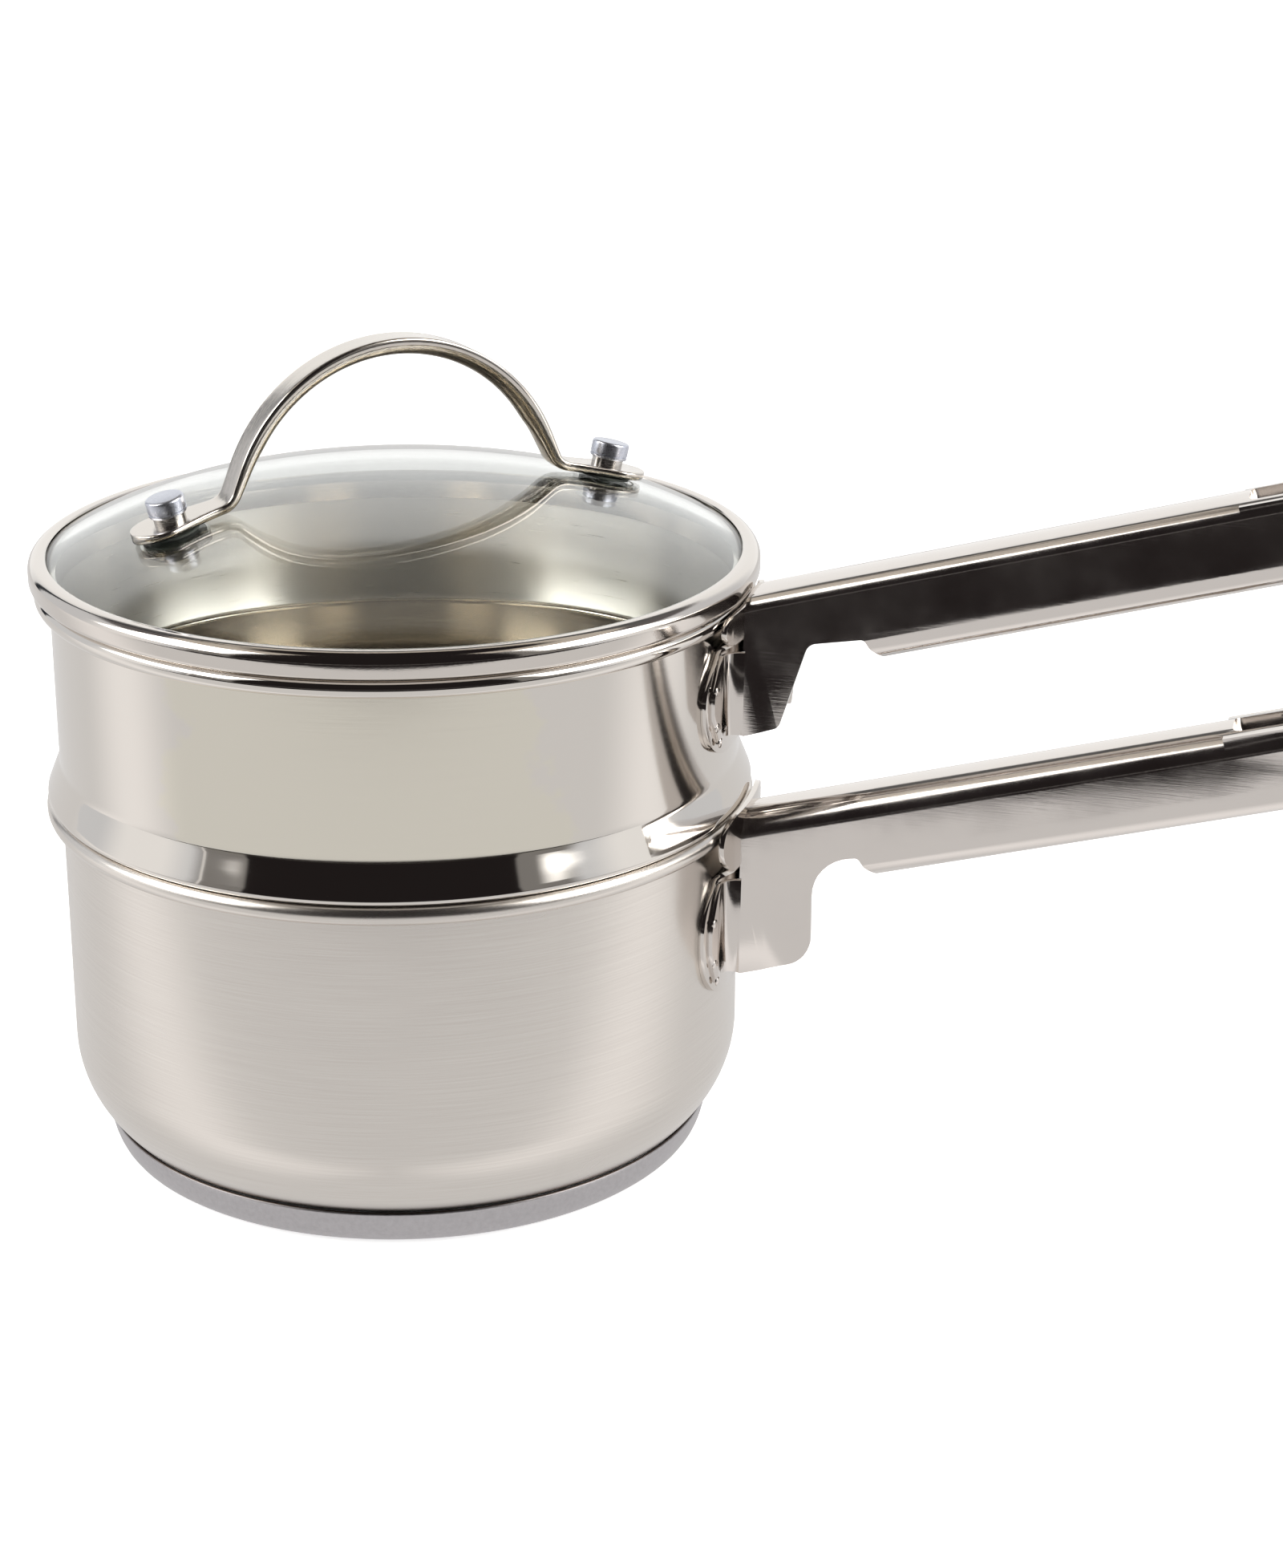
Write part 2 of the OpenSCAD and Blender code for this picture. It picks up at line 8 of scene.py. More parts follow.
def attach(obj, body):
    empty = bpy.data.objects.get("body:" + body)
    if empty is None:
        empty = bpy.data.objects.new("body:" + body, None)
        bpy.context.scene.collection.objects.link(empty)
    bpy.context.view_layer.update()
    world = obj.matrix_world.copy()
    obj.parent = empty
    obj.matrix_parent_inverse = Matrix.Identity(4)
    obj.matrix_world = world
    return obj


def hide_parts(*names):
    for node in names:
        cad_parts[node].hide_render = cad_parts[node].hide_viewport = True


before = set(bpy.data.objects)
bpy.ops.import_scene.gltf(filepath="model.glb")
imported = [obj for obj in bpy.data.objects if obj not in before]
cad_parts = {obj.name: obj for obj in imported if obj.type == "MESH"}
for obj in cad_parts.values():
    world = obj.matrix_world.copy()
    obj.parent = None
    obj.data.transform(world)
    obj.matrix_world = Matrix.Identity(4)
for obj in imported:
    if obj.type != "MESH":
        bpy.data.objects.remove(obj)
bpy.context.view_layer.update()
MM = 0.001


# Camera
# The photograph's own view, from 20.5 degrees above and 15 degrees to the
# right of the front, with the tips of both handles outside the frame.
turn = radians(15)
climb = radians(20.52)
aim = Vector((53.69, 14.39, 82.8)) * MM
distance = 746.15 * MM
toward_camera = Vector((sin(turn) * cos(climb), -cos(turn) * cos(climb), sin(climb)))
camera_data = bpy.data.cameras.new("camera")
camera_data.lens = 4000 * 36 / 1955
camera_data.sensor_width = 36
camera_data.clip_start = 0.05
camera = bpy.data.objects.new("camera", camera_data)
bpy.context.scene.collection.objects.link(camera)
camera.location = aim + toward_camera * distance
looking = (-toward_camera).to_track_quat("-Z", "Y")
roll = Matrix.Rotation(radians(0.16), 4, "Z")
camera.rotation_euler = (looking.to_matrix().to_4x4() @ roll).to_euler()
bpy.context.scene.camera = camera
bpy.context.scene.view_settings.view_transform = "Standard"


# Studio
# White paper on the table and white walls beside and behind, in a dark room:
# steel shows the paper low down and the dark room above and behind the lens.
def colour(code):
    """The linear colour of an sRGB hex value."""
    parts = [int(code[i:i + 2], 16) / 255 for i in (1, 3, 5)]
    return [p / 12.92 if p < 0.04045 else ((p + 0.055) / 1.055) ** 2.4 for p in parts] + [1]


def put(tree, kind, inputs, **settings):
    """Adds a shader node with its settings, and its inputs by name or number,
    each a value or another node's output. Returns the new node."""
    made = tree.nodes.new("ShaderNode" + kind)
    for name, value in settings.items():
        setattr(made, name, value)
    for name, value in inputs.items():
        if isinstance(value, bpy.types.NodeSocket):
            tree.links.new(value, made.inputs[name])
        else:
            made.inputs[name].default_value = value
    return made


world = bpy.data.worlds.new("studio")
world.use_nodes = True
bpy.context.scene.world = world
sky = world.node_tree
sky.nodes.clear()
way = put(sky, "TexCoord", {}).outputs["Generated"]
turned_way = put(sky, "VectorRotate", {"Vector": way, "Angle": -turn}, rotation_type="Z_AXIS")
part = put(sky, "SeparateXYZ", {0: turned_way.outputs[0]})
ahead = put(sky, "Math", {0: part.outputs[1], 1: -1.0}, operation="MULTIPLY")
azimuth = put(sky, "Math", {0: part.outputs[0], 1: ahead.outputs[0]}, operation="ARCTAN2")
height = put(sky, "Math", {0: part.outputs[2]}, operation="ARCSINE")


def between(tree, angle, low, high, soft):
    """1 where an angle lies between two others, in degrees, with soft ends."""
    rise = put(tree, "MapRange", {"Value": angle, 1: radians(low - soft), 2: radians(low + soft),
                                  3: 0.0, 4: 1.0}, interpolation_type="SMOOTHSTEP")
    fall = put(tree, "MapRange", {"Value": angle, 1: radians(high - soft), 2: radians(high + soft),
                                  3: 1.0, 4: 0.0}, interpolation_type="SMOOTHSTEP")
    both = put(tree, "Math", {0: rise.outputs[0], 1: fall.outputs[0]}, operation="MULTIPLY")
    return both.outputs[0]


def blended(tree, amount, first, second):
    """The colour between two others, by an amount."""
    return put(tree, "Mix", {0: amount, 6: first, 7: second}, data_type="RGBA").outputs[2]


# The room that the steel mirrors is laid on in layers. Bearings are counted
# from the lens, with left negative; they and the heights are in degrees.
turned_to = azimuth.outputs[0]
side = put(sky, "Math", {0: turned_to}, operation="ABSOLUTE").outputs[0]
tall = height.outputs[0]
dark = colour("#231f1f")

# Grey walls, and white paper rising behind the pan, both end 37 degrees up
paper_top = between(sky, tall, 37, 95, 3)
behind = blended(sky, paper_top, (1.1, 1.1, 1.09, 1), (0.12, 0.12, 0.12, 1))
walls = blended(sky, paper_top, (0.72, 0.73, 0.75, 1), (0.14, 0.13, 0.13, 1))
seen = blended(sky, between(sky, side, 142, 200, 12), walls, behind)

# White cloth hangs to both sides, and grey cloth across the front
seen = blended(sky, between(sky, side, 71, 100, 8), seen, (1.0, 0.99, 0.98, 1))
seen = blended(sky, between(sky, turned_to, -64, 60, 4), seen, (0.24, 0.23, 0.22, 1))

# A lamp shines through the cloth on each side, under a beige ceiling
lamp = put(sky, "Math", {0: between(sky, side, 52, 100, 5), 1: between(sky, tall, 18, 52, 2)},
           operation="MULTIPLY").outputs[0]
seen = blended(sky, lamp, seen, (6.0, 5.95, 5.8, 1))
seen = blended(sky, between(sky, tall, 53, 95, 1), seen, (0.62, 0.57, 0.5, 1))

# A bright slit stands left of the front, and a dark doorway behind it
seen = blended(sky, between(sky, turned_to, -62.8, -61.8, 0.3), seen, (0.8, 0.78, 0.76, 1))
seen = blended(sky, between(sky, turned_to, -140, -134, 1), seen, colour("#2c3036"))

# Above the table the lens's side of the room is dark, and so is the very top
room = blended(sky, between(sky, turned_to, -47, 41, 0.8), seen, dark)
room = blended(sky, between(sky, tall, -1, 95, 0.8), seen, room)
room = blended(sky, between(sky, tall, 66, 100, 3), room, dark)
ray = put(sky, "LightPath", {})
backdrop = blended(sky, ray.outputs["Is Camera Ray"], room, (1, 1, 1, 1))
light = put(sky, "Background", {0: backdrop, 1: 1.0})
put(sky, "OutputWorld", {0: light.outputs[0]})


def deselect():
    bpy.ops.object.select_all(action="DESELECT")


# The camera sees white paper with the pan's shadow. The steel mirrors a glow
# painted on the paper instead: painted lamplight, brighter on both sides of the
# pan, and painted dark beyond its edge in front.
deselect()
bpy.ops.mesh.primitive_plane_add(size=6, location=(0, 0, -0.0002))
floor = bpy.context.object
floor.name = "paper"
paper = bpy.data.materials.new("matt_white_paper")
paper.use_nodes = True
tree = paper.node_tree
tree.nodes.clear()
ray = put(tree, "LightPath", {})
matt = put(tree, "BsdfDiffuse", {0: (0.85, 0.85, 0.85, 1)})
lift = put(tree, "MapRange", {"Value": ray.outputs["Is Camera Ray"], 3: 0.38, 4: 0.62})
glow = put(tree, "Emission", {0: (1, 1, 1, 1), 1: lift.outputs[0]})
lit = put(tree, "AddShader", {0: matt.outputs[0], 1: glow.outputs[0]})
where = put(tree, "TexCoord", {}).outputs["Object"]
facing = put(tree, "VectorRotate", {"Vector": where, "Angle": -turn}, rotation_type="Z_AXIS")
spot = put(tree, "SeparateXYZ", {0: facing.outputs[0]})
back = put(tree, "Math", {0: spot.outputs[1], 1: -1.0, 2: -0.1}, operation="MULTIPLY_ADD")
bearing = put(tree, "Math", {0: spot.outputs[0], 1: back.outputs[0]}, operation="ARCTAN2").outputs[0]
beside = put(tree, "Math", {0: bearing}, operation="ABSOLUTE").outputs[0]
# painted light: two brighter pools of lamplight on the paper beside the pan, seen only in the steel's
# mirror
painted_lamplight = between(tree, beside, 90, 114, 11)
mirrored = blended(tree, painted_lamplight, (0.76, 0.75, 0.745, 1), (1.04, 1.02, 1.01, 1))
# painted dark past the paper's edge, 0.5 m in front, standing in for the dark room beyond
edge = put(tree, "MapRange", {"Value": spot.outputs[1], 1: -0.505, 2: -0.495, 3: 1.0, 4: 0.0})
mirrored = blended(tree, edge.outputs[0], mirrored, colour("#262222"))
painted_paper_glow = put(tree, "Emission", {0: mirrored, 1: 1.0})
shiny = put(tree, "MixShader", {0: ray.outputs["Is Glossy Ray"], 1: lit.outputs[0], 2: painted_paper_glow.outputs[0]})
put(tree, "OutputMaterial", {0: shiny.outputs[0]})
floor.data.materials.append(paper)


# Saucepan
# One deep-drawn stainless steel pan with its rim rolled outward into a bead.
# The outside is satin brushed round the pan; the rim is polished.
wall_r = 78.0
sheet_t = 0.9
bead_r = 2.15
rim_z = 85.0
bead_x = wall_r - sheet_t + bead_r
corner_r = 25.0
corner_x = wall_r - corner_r
corner_z = 26.32
pan_floor = 8.4


def arc(x, z, r, start, end, count):
    """Points along an arc, from one angle to another in degrees."""
    angles = [radians(start + (end - start) * i / count) for i in range(count + 1)]
    return [(x + r * cos(a), z + r * sin(a)) for a in angles]


def drawn(name, points):
    """A line of edges through the points, left in edit mode: one vertex of a
    plane, extruded from point to point."""
    deselect()
    places = [Vector(p) * MM for p in points]
    bpy.ops.mesh.primitive_plane_add(size=0.001, location=places[0])
    piece = bpy.context.object
    piece.name = name
    piece.data.name = name
    bpy.ops.object.transform_apply(location=True, rotation=True, scale=True)
    bpy.ops.object.mode_set(mode="EDIT")
    bpy.ops.mesh.select_mode(type="VERT")
    bpy.ops.mesh.select_all(action="SELECT")
    bpy.ops.mesh.merge(type="CENTER")
    for before, after in zip(places, places[1:]):
        bpy.ops.mesh.extrude_region_move(TRANSFORM_OT_translate={"value": after - before})
    return piece


def tidied(piece, angle=35):
    """Closes the mesh, turns its faces outward and leaves edit mode."""
    bpy.ops.mesh.select_all(action="SELECT")
    bpy.ops.mesh.remove_doubles(threshold=2e-6)
    bpy.ops.mesh.normals_make_consistent(inside=False)
    bpy.ops.object.mode_set(mode="OBJECT")
    bpy.ops.object.shade_smooth_by_angle(angle=radians(angle))
    return piece


def lathed(name, outline, steps=192, angle=35):
    """A closed outline of radius and height, spun round the upright axis."""
    piece = drawn(name, [(r, 0, z) for r, z in outline + outline[:1]])
    bpy.ops.mesh.select_all(action="SELECT")
    bpy.ops.mesh.spin(steps=steps, angle=2 * pi, center=(0, 0, 0), axis=(0, 0, 1))
    return tidied(piece, angle)


def bead(z):
    """A rolled rim in outline, from the wall's outside round to its inside."""
    low = degrees(acos((wall_r - bead_x) / bead_r))
    return arc(bead_x, z - bead_r, bead_r, -low, 180, 36)


inner_r = corner_r - sheet_t
low_angle = degrees(asin((pan_floor - corner_z) / corner_r))
inner_angle = degrees(asin((pan_floor + sheet_t - corner_z) / inner_r))
saucepan = lathed("saucepan", [(0, pan_floor)]
                  + arc(corner_x, corner_z, corner_r, low_angle, 0, 28)
                  + [(wall_r, 45), (wall_r, 65)]
                  + bead(rim_z)
                  + [(wall_r - sheet_t, 65), (wall_r - sheet_t, 45)]
                  + arc(corner_x, corner_z, inner_r, 0, inner_angle, 24)
                  + [(0, pan_floor + sheet_t)])


def steel(name, code, rough, brushed):
    """A material with its node tree, its object coordinates and its shader."""
    made = bpy.data.materials.new(name)
    made.use_nodes = True
    tree = made.node_tree
    shader = tree.nodes["Principled BSDF"]
    shader.inputs["Base Color"].default_value = colour(code)
    shader.inputs["Metallic"].default_value = 1.0
    shader.inputs["Roughness"].default_value = rough
    shader.inputs["Anisotropic"].default_value = brushed
    return made, tree, put(tree, "TexCoord", {}).outputs["Object"], shader


def stretched(tree, place, scale, detail=3.0, rough=0.6):
    """Noise whose grains are so many per metre along X, Y and Z."""
    long = put(tree, "Mapping", {"Vector": place, "Scale": scale})
    noise = put(tree, "TexNoise", {"Vector": long.outputs[0], "Scale": 1.0,
                                   "Detail": detail, "Roughness": rough})
    return noise.outputs["Fac"]


def spread(tree, value, low, high):
    """A 0 to 1 value moved to lie between two others."""
    return put(tree, "MapRange", {"Value": value, 1: 0.3, 2: 0.7, 3: low, 4: high}).outputs[0]


# Satin-brushed stainless steel. Fine lines run round the pan, 0.25 mm apart
# and 20 mm long, so a lamp's reflection spreads up and down the wall.
satin, tree, place, shader = steel("satin_brushed_stainless", "#e2ddd8", 0.24, 0.5)
shader.inputs["Anisotropic Rotation"].default_value = 0.25
round_pan = put(tree, "Tangent", {}, direction_type="RADIAL", axis="Z")
tree.links.new(round_pan.outputs[0], shader.inputs["Tangent"])
lines = stretched(tree, place, (40, 40, 5000), 4.0)
cloud = stretched(tree, place, (14, 14, 40), 2.0)
shade = blended(tree, spread(tree, lines, 0, 1), colour("#dbd5cf"), colour("#e2ddd7"))
tree.links.new(shade, shader.inputs["Base Color"])
tree.links.new(spread(tree, cloud, 0.22, 0.28), shader.inputs["Roughness"])
grain = put(tree, "Bump", {"Height": lines, "Strength": 0.03, "Distance": 0.0001})
tree.links.new(grain.outputs[0], shader.inputs["Normal"])
saucepan.data.materials.append(satin)
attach(saucepan, "saucepan")
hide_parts("saucepan_shell")


# Clad base
# An aluminium disc on the pan's underside, hidden in a pressed steel cap. The
# cap's lip stops just short of the pan, which leaves a thin joint, painted dark with painted shade and
# dirt.
base_cap = lathed("steel_base_cap", [
    (0, 0), (66.6, 0), (67.6, 0.12), (68.5, 0.5), (69.25, 1.1), (69.85, 1.95), (70.3, 2.95),
    (70.65, 4.0), (70.95, 5.2), (71.2, 6.6), (71.35, 7.6), (71.32, 8.0), (71.15, 8.3), (70.9, 8.42),
    (70.65, 8.35), (70.5, 8.1), (69.94, 3.6), (69.5, 1.62), (67, 0.8), (0, 0.8)])

# Satin stainless steel, blasted rather than brushed: it greys evenly. The joint
# at its lip is painted dark: painted shade in the groove, together with dirt that a cloth can't reach.
blasted, tree, place, shader = steel("blasted_stainless", "#b5afab", 0.34, 0.0)
speckle = stretched(tree, place, (900, 900, 900), 3.0)
level = put(tree, "SeparateXYZ", {0: place}).outputs[2]
# painted shade and dirt: the top of the cap's lip, above about 8 mm, is painted dark brown
joint_shade_and_dirt = put(tree, "MapRange", {"Value": level, 1: 0.0079, 2: 0.0083, 3: 0.0, 4: 1.0}).outputs[0]
even = blended(tree, spread(tree, speckle, 0, 1), colour("#b9b6b8"), colour("#c5c2c4"))
tree.links.new(blended(tree, joint_shade_and_dirt, even, colour("#3d342f")), shader.inputs["Base Color"])
tree.links.new(spread(tree, speckle, 0.3, 0.38), shader.inputs["Roughness"])
base_cap.data.materials.append(blasted)
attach(base_cap, "saucepan")
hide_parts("base_cap")


def finish_node(name, material):
    """Gives a node that stays as it is a material of its own."""
    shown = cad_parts[name]
    for slot in shown.material_slots:
        slot.material = material


# Cast aluminium, dull and faintly grained where the saw and the press left it.
cast, tree, place, shader = steel("cast_aluminium", "#c4c5c8", 0.5, 0.0)
tree.links.new(spread(tree, stretched(tree, place, (300, 300, 300)), 0.42, 0.6),
               shader.inputs["Roughness"])
finish_node("base_core", cast)


# Mounting plates
# Each handle is welded to a plate of bent sheet: a round-ended lobe on the
# wall, a neck that steps out past the rim's bead, and a curved wing above it.
plate_t = 1.2
plate_x = 82.1
root_x = plate_x + plate_t
lobe_w = 18.5


def slab(name, outline, depth):
    """A closed outline, filled and pushed out by a depth along one axis."""
    piece = drawn(name, outline + outline[:1])
    bpy.ops.mesh.select_all(action="SELECT")
    bpy.ops.mesh.remove_doubles(threshold=2e-6)
    bpy.ops.mesh.edge_face_add()
    bpy.ops.mesh.extrude_region_move(TRANSFORM_OT_translate={"value": Vector(depth) * MM})
    return tidied(piece)


def use(piece, kind, **settings):
    """Adds a modifier and applies it."""
    deselect()
    piece.select_set(True)
    bpy.context.view_layer.objects.active = piece
    made = piece.modifiers.new(kind.lower(), kind)
    for name, value in settings.items():
        setattr(made, name, value)
    bpy.ops.object.modifier_apply(modifier=made.name)


def carve(piece, tool, operation):
    """Cuts, keeps or joins with a second mesh, which is then thrown away."""
    use(piece, "BOOLEAN", operation=operation, object=tool, solver="EXACT", use_self=True)
    bpy.data.objects.remove(tool)


def eased(piece, width=0.2, angle=50, segments=2):
    """Takes the sharpness off the edges, as tumbling does."""
    use(piece, "BEVEL", width=width * MM, segments=segments, limit_method="ANGLE",
        angle_limit=radians(angle), harden_normals=False)
    bpy.ops.object.shade_smooth_by_angle(angle=radians(38))


def rounded(points, radii, steps=8):
    """An outline with each corner rounded by its own radius."""
    out = []
    for i, (point, r) in enumerate(zip(points, radii)):
        here = Vector(point)
        before = (Vector(points[i - 1]) - here).normalized()
        after = (Vector(points[(i + 1) % len(points)]) - here).normalized()
        if r == 0:
            out.append(tuple(here))
            continue
        half = before.angle(after) / 2
        centre = here + (before + after).normalized() * r / sin(half)
        first = here + before * r / tan(half) - centre
        last = here + after * r / tan(half) - centre
        swing = first.angle_signed(last)
        for k in range(steps + 1):
            spoke = first.copy()
            spoke.rotate(Matrix.Rotation(-swing * k / steps, 2))
            out.append(tuple(centre + spoke))
    return out


def flowing(points, steps=4):
    """A smooth curve through the points, with so many steps between two."""
    line = [Vector(p) for p in [points[0]] + points + [points[-1]]]
    out = []
    for a, b, c, d in zip(line, line[1:], line[2:], line[3:]):
        for k in range(steps):
            t = k / steps
            out.append(tuple(0.5 * (2 * b + (c - a) * t + (2 * a - 5 * b + 4 * c - d) * t * t
                                    + (3 * b - a - 3 * c + d) * t ** 3)))
    return out + [tuple(points[-1])]


def mounting_plate(name, neck, sides):
    """A plate with its neck at one height, from its half widths at others."""
    wall = wall_r + 0.02
    step = 2 * (plate_x - wall_r) / 3
    low, high = sides[-1][1] - 3, sides[0][1] + 3
    piece = lathed(name, [(wall, low), (wall + plate_t, low), (wall + plate_t, neck - 0.9),
                          (wall + plate_t + 0.35, neck - 0.2), (root_x - 0.45, neck + step - 0.9),
                          (root_x, neck + step - 0.1), (root_x, high), (plate_x, high),
                          (plate_x, neck + step + 0.3), (plate_x - 0.4, neck + step - 0.45),
                          (wall + 0.4, neck + 0.35), (wall, neck - 0.4)], 360)
    right = flowing(sides)
    outline = right + [(-y, z) for y, z in reversed(right)]
    carve(piece, slab("keep", [(60, y, z) for y, z in outline], (40, 0, 0)), "INTERSECT")
    eased(piece, 0.25)
    return piece


# Polished stainless steel. It mirrors the room; a fine haze of polishing marks
# 0.3 mm apart softens what it shows.
polished, tree, place, shader = steel("polished_stainless", "#dad4ce", 0.08, 0.0)
haze = stretched(tree, place, (120, 3000, 3000), 4.0)
patches = stretched(tree, place, (40, 40, 40), 3.0)
tree.links.new(spread(tree, patches, 0.05, 0.12), shader.inputs["Roughness"])
marks = put(tree, "Bump", {"Height": haze, "Strength": 0.05, "Distance": 0.0001})
tree.links.new(marks.outputs[0], shader.inputs["Normal"])
pan_sides = [(10, 87.4), (13.5, 86.9), (16.3, 85.4), (17.8, 83), (18, 80.4), (16.9, 77.8), (14, 75.6),
             (11.6, 74.2), (11.2, 72.6), (12.6, 70.6), (15.4, 67.8), (17.6, 64), (18.5, 59), (18.2, 53.5),
             (16.6, 49), (13.8, 45.6), (10, 43.6), (5.5, 42.9)]
insert_sides = [(11, 135), (14.5, 134.6), (17.2, 133.3), (18, 131.4), (16.9, 129.5), (14, 128),
                (11.6, 127.1), (11.2, 125.9), (12.6, 124), (15.4, 121.4), (17.6, 118.2), (18.5, 114.2),
                (18.1, 109.4), (16.3, 105.4), (13.4, 102.8), (9.6, 101.3), (5.5, 100.9)]
for name, neck, sides, body, node in [
        ("saucepan_plate", 71.9, pan_sides, "saucepan", "saucepan_handle_plate"),
        ("insert_plate", 125.6, insert_sides, "insert", "insert_handle_plate")]:
    plate = mounting_plate(name, neck, sides)
    plate.data.materials.append(polished)
    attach(plate, body)
    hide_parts(node)


# Handles
# Each is one blank of 1.1 mm sheet folded into a channel, curled under and
# left open along a seam. Two webs run down to flanges spot-welded on the plate.
grip_w = 17.0
grip_h = 19.8
grip_t = 1.1
grip_rise = radians(15.4)
lean = radians(4)
hem_h = 6.8
hem_x = root_x + 26
grip_end = 216.0
fold_r = 5.0
fold_y = grip_w / 2 + fold_r - grip_t
fold_x = sqrt((wall_r + plate_t + fold_r) ** 2 - fold_y ** 2)


def selected(piece, test):
    """Selects the edges whose two ends both pass a test of their place."""
    bpy.ops.mesh.select_all(action="DESELECT")
    bpy.ops.object.mode_set(mode="OBJECT")
    for vertex in piece.data.vertices:
        vertex.select = test(vertex.co / MM)
    bpy.ops.object.mode_set(mode="EDIT")


def extrude(x, y, z):
    bpy.ops.mesh.extrude_region_move(TRANSFORM_OT_translate={"value": Vector((x, y, z)) * MM})


def channel(name, grip_z, shoulder, web_depth):
    """The folded channel with its curl and its webs, before it is trimmed.
    Its sides lean in a little, and flare out where they meet the plate."""
    half = grip_w / 2
    crown = 1.6
    crown_r = (half ** 2 + crown ** 2) / (2 * crown)
    drop = tan(lean) * (grip_h - hem_h - shoulder * 1.2)
    centre_y = half - drop - shoulder
    meet = asin(centre_y / (crown_r - shoulder))
    centre_z = grip_h - crown_r + (crown_r - shoulder) * cos(meet)
    section = arc(0, grip_h - crown_r, crown_r, 90, 90 - degrees(meet), 7)
    section += arc(centre_y, centre_z, shoulder, 90 - degrees(meet), degrees(lean), 12)[1:]
    section += [(half, hem_h)]
    hem_s = (hem_x - root_x) / cos(grip_rise)
    length = (grip_end - root_x) / cos(grip_rise)
    piece = drawn(name, [(-16, y, z) for y, z in section])
    bpy.ops.mesh.select_all(action="SELECT")
    bpy.ops.transform.resize(value=(1, 1.045, 1), center_override=(0, 0, 0))
    extrude(17, 0, 0)
    extrude(1.5, 0, 0)
    bpy.ops.transform.resize(value=(1, 0.975, 1), center_override=(0, 0, 0))
    extrude(2.5, 0, 0)
    bpy.ops.transform.resize(value=(1, 1 / 1.045 / 0.975, 1), center_override=(0, 0, 0))
    extrude(hem_s - 5, 0, 0)
    for share in range(4):
        extrude((length - hem_s) / 4, 0, 0)
    selected(piece, lambda v: abs(v.z - hem_h) < 0.01 and v.x > hem_s - 0.1)
    before = (half, hem_h)
    curl = [(half + 0.1, 5.4)] + arc(half - 4.9, 5, 5, 0, -90, 10)[1:] + [(2, 0)]
    for after in curl:
        extrude(0, after[0] - before[0], after[1] - before[1])
        before = after
    selected(piece, lambda v: abs(v.z - hem_h) < 0.01 and v.x < hem_s + 0.1)
    extrude(0, web_depth * tan(lean), -web_depth)
    tidied(piece)
    use(piece, "MIRROR", use_axis=(False, True, False), use_clip=True, merge_threshold=1e-5)
    bpy.ops.object.mode_set(mode="EDIT")
    tidied(piece)
    use(piece, "SOLIDIFY", thickness=grip_t * MM, offset=-1, use_even_offset=True)
    piece.matrix_world = (Matrix.Translation(Vector((root_x, 0, grip_z)) * MM)
                          @ Matrix.Rotation(-grip_rise, 4, "Y"))
    bpy.ops.object.transform_apply(location=True, rotation=True, scale=True)
    return piece


def flanges(name, web_z, low, high, lobe_low, lobe_high):
    """Both flanges: along the wall, round the fold, and up to the web's edge."""
    mid = wall_r + plate_t + grip_t / 2 + 0.03
    ends = [degrees(asin(y / mid)) for y in (lobe_w - 1.6, fold_y)]
    line = [(mid * cos(radians(a)), mid * sin(radians(a)))
            for a in [ends[0] + (ends[1] - ends[0]) * k / 8 for k in range(8)]]
    line += arc(fold_x, fold_y, fold_r - grip_t / 2, 189, 270, 12)
    piece = drawn(name, [(x, y, lobe_low) for x, y in line])
    bpy.ops.mesh.select_all(action="SELECT")
    extrude(0, 0, lobe_high - lobe_low)
    tidied(piece, 60)
    use(piece, "SOLIDIFY", thickness=grip_t * MM, offset=0, use_even_offset=True)
    for vertex in piece.data.vertices:
        share = min(1, max(0, (vertex.co.x / MM - fold_x + 3.5) / 3.5))
        vertex.co.y += share * (web_z * MM - vertex.co.z) * tan(lean)
    side = lobe_w - 1.8
    deep = (lobe_high - lobe_low) / 8
    rim = flowing([(11.8, low), (13.2, lobe_low + 0.8 * deep), (14.6, lobe_low + 1.6 * deep),
                   (side - 0.3, lobe_low + 2.8 * deep), (side, lobe_low + 4 * deep),
                   (side - 0.3, lobe_high - 2.8 * deep), (14.6, lobe_high - 1.4 * deep),
                   (13.2, lobe_high - 0.5 * deep), (11.8, lobe_high)])
    outline = [(0, low), (11.2, low)] + rim + [(11.2, high), (0, high)]
    carve(piece, slab("keep", [(60, y, z) for y, z in outline], (40, 0, 0)), "INTERSECT")
    eased(piece, 0.15)
    use(piece, "MIRROR", use_axis=(False, True, False), use_mirror_merge=False)
    return piece


def weld_dots(places):
    """The small domes that spot welds leave on the flanges."""
    made = []
    for y, z in places:
        out = wall_r + plate_t + grip_t
        dot = lathed("weld_dot", [(0, 0.35), (0.5, 0.32), (0.9, 0.2), (1.15, 0), (1.15, -0.3),
                                  (0, -0.3)], 16)
        outward = Matrix.Rotation(asin(y / out), 4, "Z") @ Matrix.Rotation(pi / 2, 4, "Y")
        x = sqrt(out ** 2 - y ** 2)
        dot.matrix_world = Matrix.Translation(Vector((x, y, z)) * MM) @ outward
        bpy.ops.object.transform_apply(location=True, rotation=True, scale=True)
        made.append(dot)
    return made


def joined(first, others):
    """Joins the other meshes into the first."""
    deselect()
    for piece in others:
        piece.select_set(True)
    first.select_set(True)
    bpy.context.view_layer.objects.active = first
    bpy.ops.object.join()


